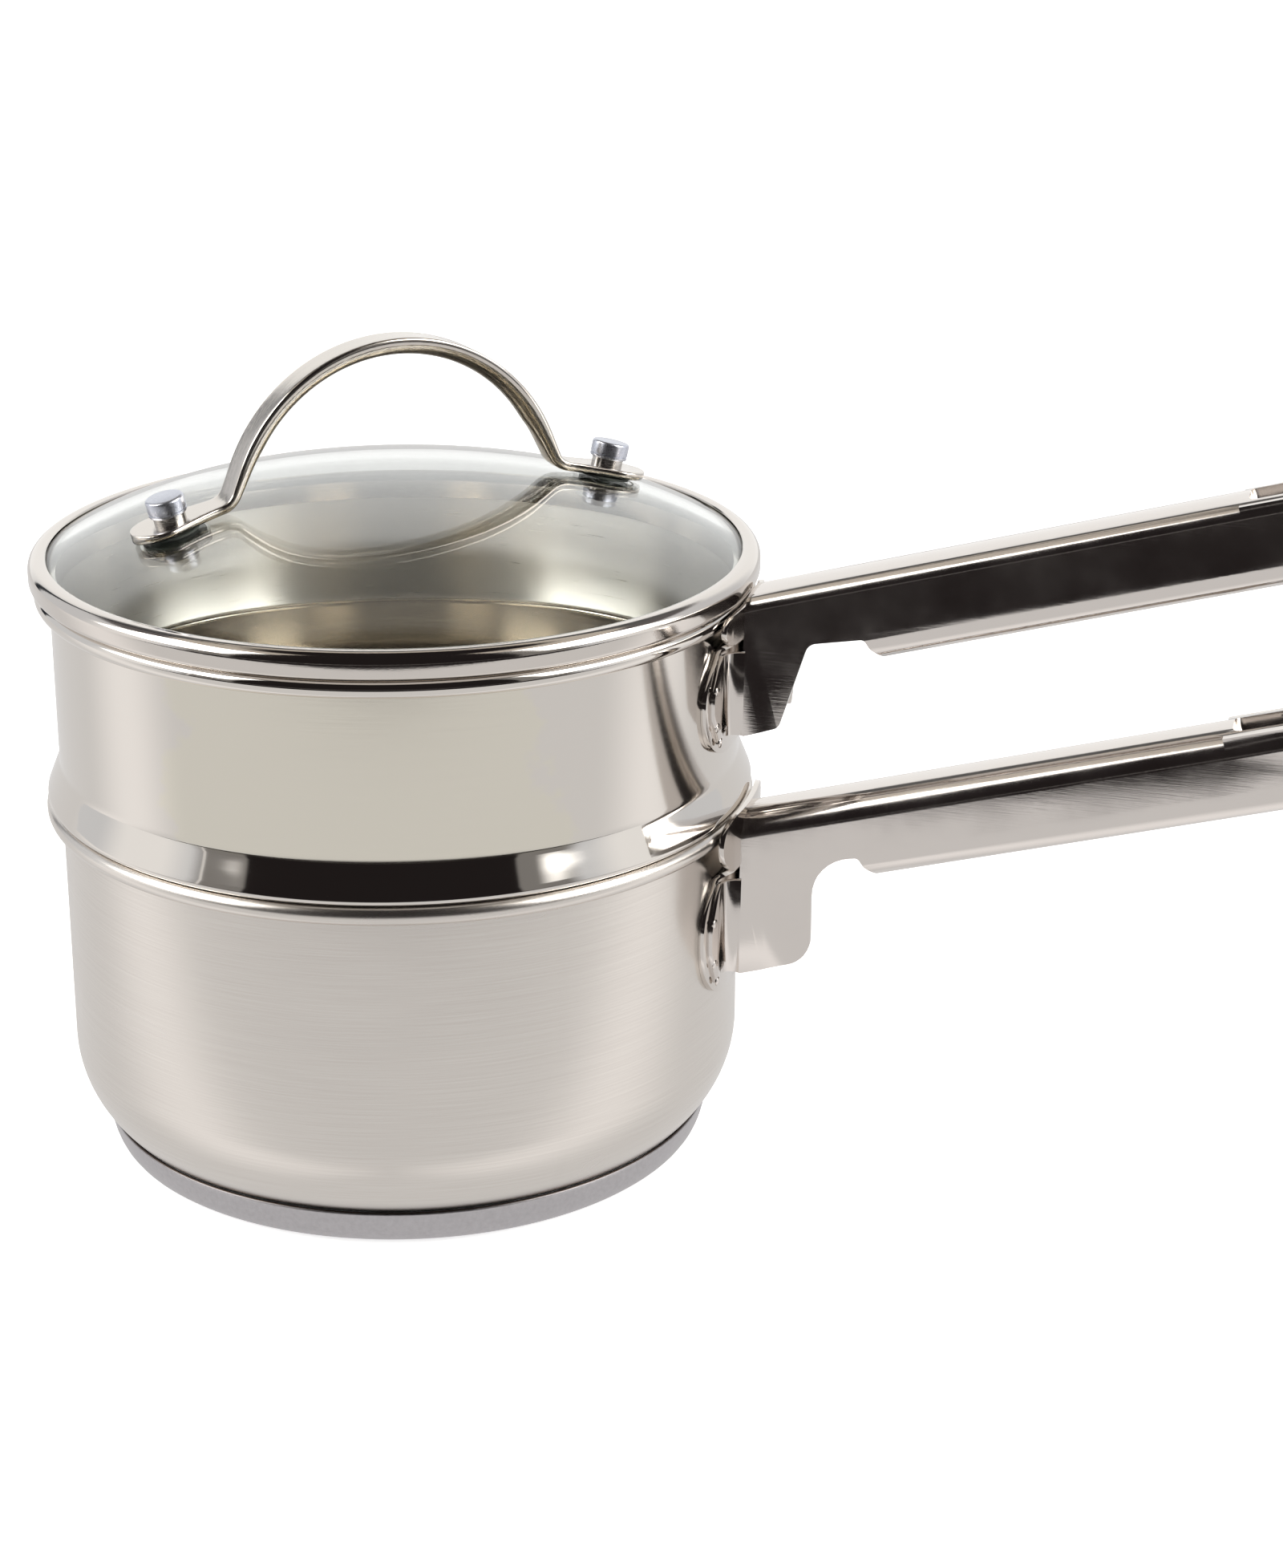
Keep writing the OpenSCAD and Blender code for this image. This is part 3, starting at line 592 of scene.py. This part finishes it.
def handle(name, grip_z, shoulder, web, web_radii, web_high, lobe):
    """A whole handle. The web's outline runs from its low root corner outward
    and back up to the grip; the lobe gives the flanges' lowest and highest."""
    slope = tan(grip_rise)
    piece = channel(name, grip_z, shoulder, 62)
    hem_z = grip_z + 26 * slope + hem_h / cos(grip_rise)
    down = Vector((sin(grip_rise), -cos(grip_rise)))
    notch = [Vector((hem_x, hem_z)) + down * 1.2, Vector((hem_x + 0.8, hem_z)) + down * 3.5,
             Vector((hem_x + 3.4, hem_z)) + down * 6.4, Vector((hem_x + 5, hem_z)) + down * 14]
    keep = web + [tuple(v) for v in notch] + [(240, hem_z + 10), (240, 260), (70, 260),
                                              (70, grip_z + web_high), (fold_x, grip_z + web_high)]
    radii = web_radii + [1.2, 1.0, 1.5, 0, 0, 0, 0, 0, 0]
    profile = [(x, -30, z) for x, z in rounded(keep, radii)]
    carve(piece, slab("keep", profile, (0, 60, 0)), "INTERSECT")
    high_x, high_z = web[2]
    far_side = rounded([(web[1][0] - 5, grip_z - 40), (hem_x - 1.5, grip_z - 40),
                        (hem_x - 1.5, hem_z - 1.5 * slope), (high_x - 5, high_z - 5 * slope)],
                       [0, 0, 0, web_radii[2] * 0.8])
    carve(piece, slab("far_side", [(x, 4, z) for x, z in far_side], (0, 40, 0)), "DIFFERENCE")
    end = lathed("end", [(0, 0), (root_x, 0), (root_x, 200), (0, 200)], 360)
    carve(piece, end, "DIFFERENCE")
    along = Matrix.Translation(Vector((root_x, 0, grip_z)) * MM) @ Matrix.Rotation(-grip_rise, 4, "Y")
    length = (grip_end - root_x) / cos(grip_rise)
    pocket = (grip_end - 21.5 - root_x) / cos(grip_rise)
    pocket_floor = grip_h - 2.5
    pocket_t = 1.6
    nose = grip_w / 2

    def placed(tool):
        tool.matrix_world = along
        bpy.ops.object.transform_apply(location=True, rotation=True, scale=True)
        return tool

    stadium = [(-60, -30), (length - nose, -30), (length - nose, -nose)]
    stadium += arc(length - nose, 0, nose, -90, 90, 32)[1:-1]
    stadium += [(length - nose, nose), (length - nose, 30), (-60, 30)]
    carve(piece, placed(slab("tip", [(x, y, -70) for x, y in stadium], (0, 0, 200))), "INTERSECT")
    inner = nose - 1.0
    plug = [(pocket - 2, -inner), (length - nose, -inner)]
    plug += arc(length - nose, 0, nose - 0.01, -88, 88, 32)
    plug += [(length - nose, inner), (pocket - 2, inner)]
    under = pocket_floor - pocket_t
    tip = placed(slab("tip", [(x, y, under) for x, y in plug], (0, 0, 2 * pocket_t)))
    wall_in = arc(length - nose, 0, inner - 0.1, 80, -80, 28)
    wall_out = arc(length - nose, 0, nose - 0.01, -80, 80, 28)
    end_wall = placed(slab("end_wall", [(x, y, 0.8) for x, y in wall_out + wall_in], (0, 0, under)))
    carve(piece, tip, "UNION")
    carve(piece, end_wall, "UNION")
    slot = rounded([(pocket, -4.5), (length - 2.6, -4.5), (length - 2.6, 4.5), (pocket, 4.5)],
                   [1.5, 4.2, 4.2, 1.5])
    slot = slab("slot", [(x, y, pocket_floor) for x, y in slot], (0, 0, 12))
    carve(piece, placed(slot), "DIFFERENCE")
    hole = slab("hole", [(length - 10 + x, y, 0) for x, y in arc(0, 0, 3.5, 0, 350, 35)], (0, 0, 60))
    carve(piece, placed(hole), "DIFFERENCE")
    eased(piece, 0.22)
    low, high = lobe
    web_z = grip_z + hem_h / cos(grip_rise)
    wings = flanges(name + "_flanges", web_z, web[0][1], grip_z + web_high, low, high)
    spots = [(y, low + share * (high - low)) for y, share in [(15.0, 0.3), (15.2, 0.68), (13.2, 0.12)]]
    dots = weld_dots(spots + [(-y, z) for y, z in spots])
    joined(piece, [wings] + dots)
    return piece


# The grips' undersides leave the plates at these heights
upper_z = 116.9
lower_z = 65.9
slope = tan(grip_rise)
step = hem_h / cos(grip_rise)
insert_web = [(fold_x, upper_z - 11.1), (91.2, upper_z - 8.6), (97.3, upper_z + 14 * slope + step)]
insert_handle = handle("insert_handle_folded", upper_z, 3.4, insert_web, [0, 2, 3], 8.4, (102.3, 124.6))
pan_web = [(fold_x, lower_z - 17.1), (99.6, lower_z - 12.2), (99.2, lower_z + 16.2 * slope + step)]
pan_handle = handle("saucepan_handle_folded", lower_z, 6.0, pan_web, [0, 7, 10], 5.6, (44.4, 70.8))

# The same polished steel, a little duller where hands and cloths rub it
handled, tree, place, shader = steel("handled_stainless", "#dcd6d1", 0.1, 0.0)
haze = stretched(tree, place, (90, 2500, 2500), 4.0)
rubbed = stretched(tree, place, (60, 25, 60), 4.0)
tree.links.new(spread(tree, rubbed, 0.06, 0.16), shader.inputs["Roughness"])
marks = put(tree, "Bump", {"Height": haze, "Strength": 0.06, "Distance": 0.0001})
tree.links.new(marks.outputs[0], shader.inputs["Normal"])
for piece, body, node in [(insert_handle, "insert", "insert_handle"),
                          (pan_handle, "saucepan", "saucepan_handle")]:
    piece.data.materials.append(handled)
    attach(piece, body)
    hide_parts(node)


# Insert pan
# A second drawn pan. Its wall stands on the saucepan's rim by a flared
# shoulder and a flat shelf, and its narrower pot hangs inside the saucepan.
shelf_z = 85.3
pot_r = 76.5
pot_floor = 38.0
pot_corner = 18.0
insert_rim = 135.2
insert = lathed("insert_pan", [(0, pot_floor)]
                + arc(pot_r - pot_corner, pot_floor + pot_corner, pot_corner, -90, 0, 20)
                + [(pot_r, 70), (pot_r, shelf_z - 0.6), (pot_r + 0.2, shelf_z - 0.15),
                   (pot_r + 0.6, shelf_z), (79.9, shelf_z)]
                + arc(79.9, shelf_z + 1.1, 1.1, -80, 20, 8)
                + [(80.6, 87.6), (80.05, 89.0), (79.4, 90.6), (78.75, 92.2), (78.35, 93.2), (78.12, 93.8),
                   (78.02, 94.3), (wall_r, 95.2), (wall_r, 110), (wall_r, 122)]
                + bead(insert_rim)
                + [(77.1, 122), (77.1, 107.2), (76.9, 106.9), (76.88, 106.5), (77.1, 106.2),
                   (77.1, 105.6), (76.92, 105.4), (76.94, 105.1), (77.1, 104.9),
                   (77.1, 95.2), (77.2, 94.2), (77.5, 93.1), (78.5, 90.4), (79.3, 88.2), (79.5, 87.2),
                   (79.3, 86.5), (78.8, 86.2), (76.4, 86.2), (75.8, 85.95), (75.6, 85.3), (75.6, 70)]
                + arc(pot_r - pot_corner, pot_floor + pot_corner, pot_corner - 0.9, 0, -90, 20)
                + [(0, pot_floor + 0.9)])

# Brushed stainless steel, finer than the saucepan's and closer to a mirror;
# the flared shoulder and the rolled rim are polished bright. The front of the
# wall is tinted a little yellower, with a ragged edge.
bright, tree, place, shader = steel("fine_brushed_stainless", "#dfdad4", 0.12, 0.3)
shader.inputs["Anisotropic Rotation"].default_value = 0.25
round_pan = put(tree, "Tangent", {}, direction_type="RADIAL", axis="Z")
tree.links.new(round_pan.outputs[0], shader.inputs["Tangent"])
lines = stretched(tree, place, (40, 40, 5000), 4.0)
apart = put(tree, "SeparateXYZ", {0: place})
level = apart.outputs[2]
low = put(tree, "MapRange", {"Value": level, 1: 0.0935, 2: 0.0945, 3: 0.0, 4: 1.0}).outputs[0]
high = put(tree, "MapRange", {"Value": level, 1: 0.1305, 2: 0.131, 3: 1.0, 4: 0.0}).outputs[0]
wall = put(tree, "Math", {0: low, 1: high}, operation="MULTIPLY").outputs[0]
rough = spread(tree, lines, 0.1, 0.14)
tree.links.new(put(tree, "Mix", {0: wall, 2: 0.05, 3: rough}).outputs[0], shader.inputs["Roughness"])
grain = put(tree, "Math", {0: lines, 1: wall}, operation="MULTIPLY").outputs[0]
ahead = put(tree, "Math", {0: apart.outputs[1], 1: -1.0}, operation="MULTIPLY")
bearing = put(tree, "Math", {0: apart.outputs[0], 1: ahead.outputs[0]}, operation="ARCTAN2").outputs[0]
edge_wobble = put(tree, "MapRange", {"Value": stretched(tree, place, (45, 45, 60), 4.0),
                               1: 0.3, 2: 0.7, 3: -0.12, 4: 0.12}).outputs[0]
ragged = put(tree, "Math", {0: bearing, 1: edge_wobble}).outputs[0]
front = between(tree, ragged, -19, 44, 1.5)
# the front of the wall, between bearings of -19 and 44 degrees, tinted a little yellower
front_tint = put(tree, "Math", {0: front, 1: wall}, operation="MULTIPLY").outputs[0]
tree.links.new(blended(tree, front_tint, colour("#dfdad4"), colour("#e1dcd0")), shader.inputs["Base Color"])
marks = put(tree, "Bump", {"Height": grain, "Strength": 0.02, "Distance": 0.0001})
tree.links.new(marks.outputs[0], shader.inputs["Normal"])
insert.data.materials.append(bright)

# Scoured stainless steel inside the pans. Its lines run round, so each lamp
# smears into an upright bar; below the fine ridges it is smoother and darker.
scoured, tree, place, shader = steel("scoured_stainless", "#f3eee6", 0.35, 0.95)
shader.inputs["Anisotropic Rotation"].default_value = 0.25
round_pan = put(tree, "Tangent", {}, direction_type="RADIAL", axis="Z")
tree.links.new(round_pan.outputs[0], shader.inputs["Tangent"])
lines = stretched(tree, place, (60, 60, 2500), 4.0)
level = put(tree, "SeparateXYZ", {0: place}).outputs[2]
above = put(tree, "MapRange", {"Value": level, 1: 0.1058, 2: 0.1062, 3: 0.0, 4: 1.0}).outputs[0]
smoother = spread(tree, lines, 0.14, 0.2)
rougher = spread(tree, lines, 0.27, 0.39)
rough = put(tree, "Mix", {0: above, 2: smoother, 3: rougher}).outputs[0]
tree.links.new(rough, shader.inputs["Roughness"])
tree.links.new(blended(tree, above, colour("#dcd4c8"), colour("#f6f1ea")), shader.inputs["Base Color"])
for pan, ends in [(saucepan, rim_z - 3), (insert, insert_rim - 3)]:
    pan.data.materials.append(scoured)
    for face in pan.data.polygons:
        middle = face.center / MM
        inward = middle.xy.normalized().dot(face.normal.xy) < -0.05
        floor_up = face.normal.z > 0.7 and middle.z < 70
        if middle.z < ends and (inward or floor_up):
            face.material_index = 1
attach(insert, "insert")
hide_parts("insert_shell")


# Lid glass
# A dome of tempered glass, 3.2 mm thick, with two holes drilled for the
# handle's studs. Its edge sits in the steel band.
band_z = 135.5
band_t = 0.7
glass_t = 3.2
glass_r = 79.8
lip_r = 78.3
dome_r = 225.0
knuckle_r = 100.0
knuckle_start = 56.0
knuckle_a = asin(knuckle_start / dome_r)
knuckle_x = knuckle_start - knuckle_r * sin(knuckle_a)
knuckle_z = band_z + band_t - sqrt((knuckle_r - glass_t) ** 2 - (glass_r - knuckle_x) ** 2)
dome_z = knuckle_z - (dome_r - knuckle_r) * cos(knuckle_a)
join = 90 - degrees(knuckle_a)


def dome(depth):
    """The glass's face at a depth below its top, from the edge to the crown."""
    edge = degrees(acos((glass_r - knuckle_x) / (knuckle_r - depth)))
    return (arc(knuckle_x, knuckle_z, knuckle_r - depth, edge, join, 12)
            + arc(0, dome_z, dome_r - depth, join, 90, 24)[1:])


glass = lathed("lid_glass_dome", dome(0) + dome(glass_t)[::-1], 192, 50)

# The handle's studs stand square to the glass, either side of its crown
lid_turn = radians(42)
arch_r = 40.6
rivet_reach = arch_r + 11.8
rivet_a = asin(rivet_reach / dome_r)


def at_rivet(side):
    """The place of a rivet: its upright square to the glass, 0 on its top."""
    return (Matrix.Rotation(lid_turn, 4, "Z") @ Matrix.Translation((0, 0, dome_z * MM))
            @ Matrix.Rotation(side * rivet_a, 4, "Y") @ Matrix.Translation((0, 0, dome_r * MM)))


def set_down(piece, place):
    """Moves a piece to its place and leaves its object at the origin."""
    deselect()
    piece.select_set(True)
    bpy.context.view_layer.objects.active = piece
    piece.matrix_world = place
    bpy.ops.object.transform_apply(location=True, rotation=True, scale=True)
    return piece


for side in (-1, 1):
    drill = lathed("drill", [(0, -8), (2.6, -8), (2.6, 8), (0, 8)], 48)
    carve(glass, set_down(drill, at_rivet(side)), "DIFFERENCE")
bpy.ops.object.shade_smooth_by_angle(angle=radians(50))

# Tempered soda-lime glass: clear, faintly green, and greener through the edge
clear = bpy.data.materials.new("tempered_glass")
clear.use_nodes = True
tree = clear.node_tree
shader = tree.nodes["Principled BSDF"]
shader.inputs["Transmission Weight"].default_value = 1.0
shader.inputs["IOR"].default_value = 1.52
shader.inputs["Roughness"].default_value = 0.0
place = put(tree, "TexCoord", {}).outputs["Object"]
drift = stretched(tree, place, (25, 25, 25), 2.0)
tree.links.new(blended(tree, drift, colour("#fafdfb"), colour("#fcfefc")), shader.inputs["Base Color"])
glass.data.materials.append(clear)
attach(glass, "lid")
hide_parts("lid_glass")


# Lid band
# A hoop of thin steel rolled over the glass's edge, with a skirt that drops
# into the insert's rim and keeps the lid centred.
band_r = 82.4
skirt_r = 76.2
turn_r = 2.7
lip_z = knuckle_z + sqrt(knuckle_r ** 2 - (lip_r - knuckle_x) ** 2)
top_z = lip_z + band_t
round_x = band_r - turn_r
round_z = top_z - turn_r
band = lathed("lid_band_hoop", [(skirt_r - 0.7, band_z - 4), (skirt_r - 0.35, band_z - 4.15),
                                (skirt_r, band_z - 4), (skirt_r, band_z - 0.3), (skirt_r + 0.3, band_z)]
              + arc(band_r - 1.3, band_z + 1.3, 1.3, -90, 0, 8)
              + arc(round_x, round_z, turn_r, 0, 88, 18)
              + [(lip_r + 0.6, top_z + 0.02), (lip_r + 0.2, top_z - 0.08), (lip_r, top_z - 0.35),
                 (lip_r + 0.1, lip_z + 0.08), (lip_r + 0.4, lip_z + 0.02)]
              + arc(round_x, round_z, turn_r - 0.7, 88, 0, 12)
              + arc(band_r - 1.3, band_z + 1.3, 0.6, 0, -90, 5)
              + [(skirt_r - 0.7, band_z + 0.7)], 240)
band.data.materials.append(polished)
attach(band, "lid")
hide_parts("lid_band")


# Lid fasteners
# Under each foot a stud passes through two rubber gaskets and the glass. A
# shallow steel cup holds it below; an aluminium cap is driven on above.
foot_top = 2.7
collar_h = 1.7

# Silicone rubber, cut from sheet: dark grey-green and matt
rubber, tree, place, shader = steel("silicone_rubber", "#4a4f49", 0.6, 0.0)
shader.inputs["Metallic"].default_value = 0.0
pores = stretched(tree, place, (1500, 1500, 1500), 3.0)
tree.links.new(blended(tree, pores, colour("#3f443f"), colour("#565b54")), shader.inputs["Base Color"])

# Turned steel, with the lathe's fine rings still on it
lathe_cut, tree, place, shader = steel("turned_stainless", "#c9c6c2", 0.22, 0.0)
rings = stretched(tree, place, (300, 300, 6000), 3.0)
tree.links.new(spread(tree, rings, 0.16, 0.3), shader.inputs["Roughness"])
for side in ("left", "right"):
    finish_node("gasket_" + side, rubber)
    finish_node("inner_gasket_" + side, rubber)
    finish_node("washer_" + side, lathe_cut)
    finish_node("stud_" + side, lathe_cut)

# Satin aluminium, bluer and whiter than the steel round it
satin_cap, tree, place, shader = steel("satin_aluminium", "#cfd2dc", 0.3, 0.0)
fine = stretched(tree, place, (2500, 2500, 2500), 3.0)
tree.links.new(spread(tree, fine, 0.24, 0.38), shader.inputs["Roughness"])
for side, word in ((-1, "left"), (1, "right")):
    low = foot_top + collar_h
    cap = lathed("cap_" + word, [(r, low + z) for r, z in [
        (2.5, 3), (2.5, 0), (3.9, 0), (4.2, 0.12), (4.3, 0.35), (4.3, 0.72), (4.12, 0.82), (4.12, 0.95),
        (4.3, 1.05), (4.3, 3.3), (4.22, 3.6), (4.0, 3.82), (3.6, 3.9), (0, 3.9), (0, 3)]], 72)
    set_down(cap, at_rivet(side))
    cap.data.materials.append(satin_cap)
    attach(cap, "lid")
    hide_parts("rivet_cap_" + word)


# Lid handle
# One bar of half-round steel, bent to an arch, then turned outward at each
# end and hammered flat into a round foot with a hole for the stud.
strap_w = 7.6
strap_t = 4.2
bend_r = 4.0
bend_in = 10.8
foot_t = 2.2
bend_x = rivet_reach + (foot_top + bend_r) * sin(rivet_a) - bend_in * cos(rivet_a)
bend_z = dome_z + dome_r * cos(rivet_a) + (foot_top + bend_r) * cos(rivet_a) + bend_in * sin(rivet_a)
arch_z = bend_z - 11.4
gap = sqrt(bend_x ** 2 + (bend_z - arch_z) ** 2)
leg = sqrt(gap ** 2 - (arch_r + bend_r) ** 2)
leg_a = atan2(bend_z - arch_z, bend_x) + acos((arch_r + bend_r) / gap)
arch_l = arch_r * (pi / 2 - leg_a)
bend_l = bend_r * (pi / 2 - rivet_a - leg_a)
foot_l = bend_in + 2.5 + 6.8


def bar_place(s, depth):
    """Where a point of the straight bar goes: s along it from the top of the
    arch, depth below its outer face."""
    if s <= arch_l:
        a = pi / 2 - s / arch_r
        return (arch_r - depth) * cos(a), arch_z + (arch_r - depth) * sin(a)
    x = arch_r * cos(leg_a) + min(s - arch_l, leg) * sin(leg_a)
    z = arch_z + arch_r * sin(leg_a) - min(s - arch_l, leg) * cos(leg_a)
    if s <= arch_l + leg:
        return x - depth * cos(leg_a), z - depth * sin(leg_a)
    swing = min(s - arch_l - leg, bend_l) / bend_r
    a = pi + leg_a + swing
    x = bend_x + (bend_r + depth) * cos(a)
    z = bend_z + (bend_r + depth) * sin(a)
    rest = max(0, s - arch_l - leg - bend_l)
    return x + rest * cos(rivet_a), z - rest * sin(rivet_a)


def bar_size(s):
    """Half width, thickness and flatness of the bar at a length along it."""
    foot = s - arch_l - leg - bend_l
    thin = min(1, max(0, (s - arch_l + 6) / (leg + bend_l + 6)))
    thick = strap_t + (foot_t - strap_t) * thin
    disc = 6.8 ** 2 - (foot - bend_in - 2.5) ** 2
    if foot < 0:
        return strap_w / 2, thick, thin
    if foot < bend_in + 0.4:
        share = foot / (bend_in + 0.4)
        return strap_w / 2 + 2.68 * share ** 1.4, thick, 1
    return sqrt(max(disc, 0.3)), thick, 1


half_bar = [(0, 0), (1.6, 0), (3.0, 0), (3.35, 0.04), (3.65, 0.18), (3.78, 0.45), (3.8, 0.9),
            (3.78, 1.45), (3.62, 2.1), (3.2, 2.8), (2.6, 3.4), (1.8, 3.86), (0.9, 4.12), (0, 4.2)]
ring = half_bar + [(-y, d) for y, d in half_bar[-2:0:-1]]
strap = drawn("lid_handle_bar", [(0, y, -d) for y, d in ring + ring[:1]])
bpy.ops.mesh.select_all(action="SELECT")
bpy.ops.mesh.remove_doubles(threshold=2e-6)
bpy.ops.mesh.select_all(action="SELECT")
foot_steps = [0.06 * k for k in range(1, 10)] + [0.5 + 0.05 * k for k in range(1, 9)]
foot_steps += [0.93, 0.955, 0.975, 0.988, 0.997]
stations = [arch_l * k / 28 for k in range(1, 29)]
stations += [arch_l + leg * k / 5 for k in range(1, 6)]
stations += [arch_l + leg + bend_l * k / 9 for k in range(1, 10)]
stations += [arch_l + leg + bend_l + foot_l * k for k in sorted(foot_steps)]
here = 0
for s in stations:
    extrude(s - here, 0, 0)
    here = s
bpy.ops.mesh.edge_face_add()
bpy.ops.object.mode_set(mode="OBJECT")
for vertex in strap.data.vertices:
    s, y, d = vertex.co.x / MM, vertex.co.y / MM, -vertex.co.z / MM
    half, thick, flat = bar_size(s)
    d += (min(strap_t, 1.35 * d) - d) * flat
    x, z = bar_place(s, d * thick / strap_t)
    vertex.co = Vector((x, y * half / (strap_w / 2), z)) * MM
use(strap, "MIRROR", use_axis=(True, False, False), use_clip=True, merge_threshold=1e-5)
bpy.ops.object.mode_set(mode="EDIT")
tidied(strap, 55)
set_down(strap, Matrix.Rotation(lid_turn, 4, "Z"))

# Polished steel bar, drawn lengthways: hair-fine lines run along it, and the
# flattened feet keep the hammer's shallow dents
drawn_bar, tree, place, shader = steel("drawn_stainless_bar", "#d8d2cb", 0.12, 0.0)
across = put(tree, "VectorRotate", {"Vector": place, "Angle": -lid_turn}, rotation_type="Z_AXIS")
hairs = stretched(tree, across.outputs[0], (150, 4000, 150), 3.0)
dents = stretched(tree, place, (450, 450, 450), 2.0)
tree.links.new(spread(tree, hairs, 0.08, 0.18), shader.inputs["Roughness"])
low = put(tree, "SeparateXYZ", {0: place}).outputs[2]
foot_part = put(tree, "MapRange", {"Value": low, 1: 0.156, 2: 0.159, 3: 1.0, 4: 0.0}).outputs[0]
beaten = put(tree, "Math", {0: dents, 1: foot_part}, operation="MULTIPLY").outputs[0]
relief = put(tree, "Math", {0: beaten, 1: hairs}, operation="ADD").outputs[0]
marks = put(tree, "Bump", {"Height": relief, "Strength": 0.1, "Distance": 0.0003})
tree.links.new(marks.outputs[0], shader.inputs["Normal"])
strap.data.materials.append(drawn_bar)
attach(strap, "lid")
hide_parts("lid_handle")
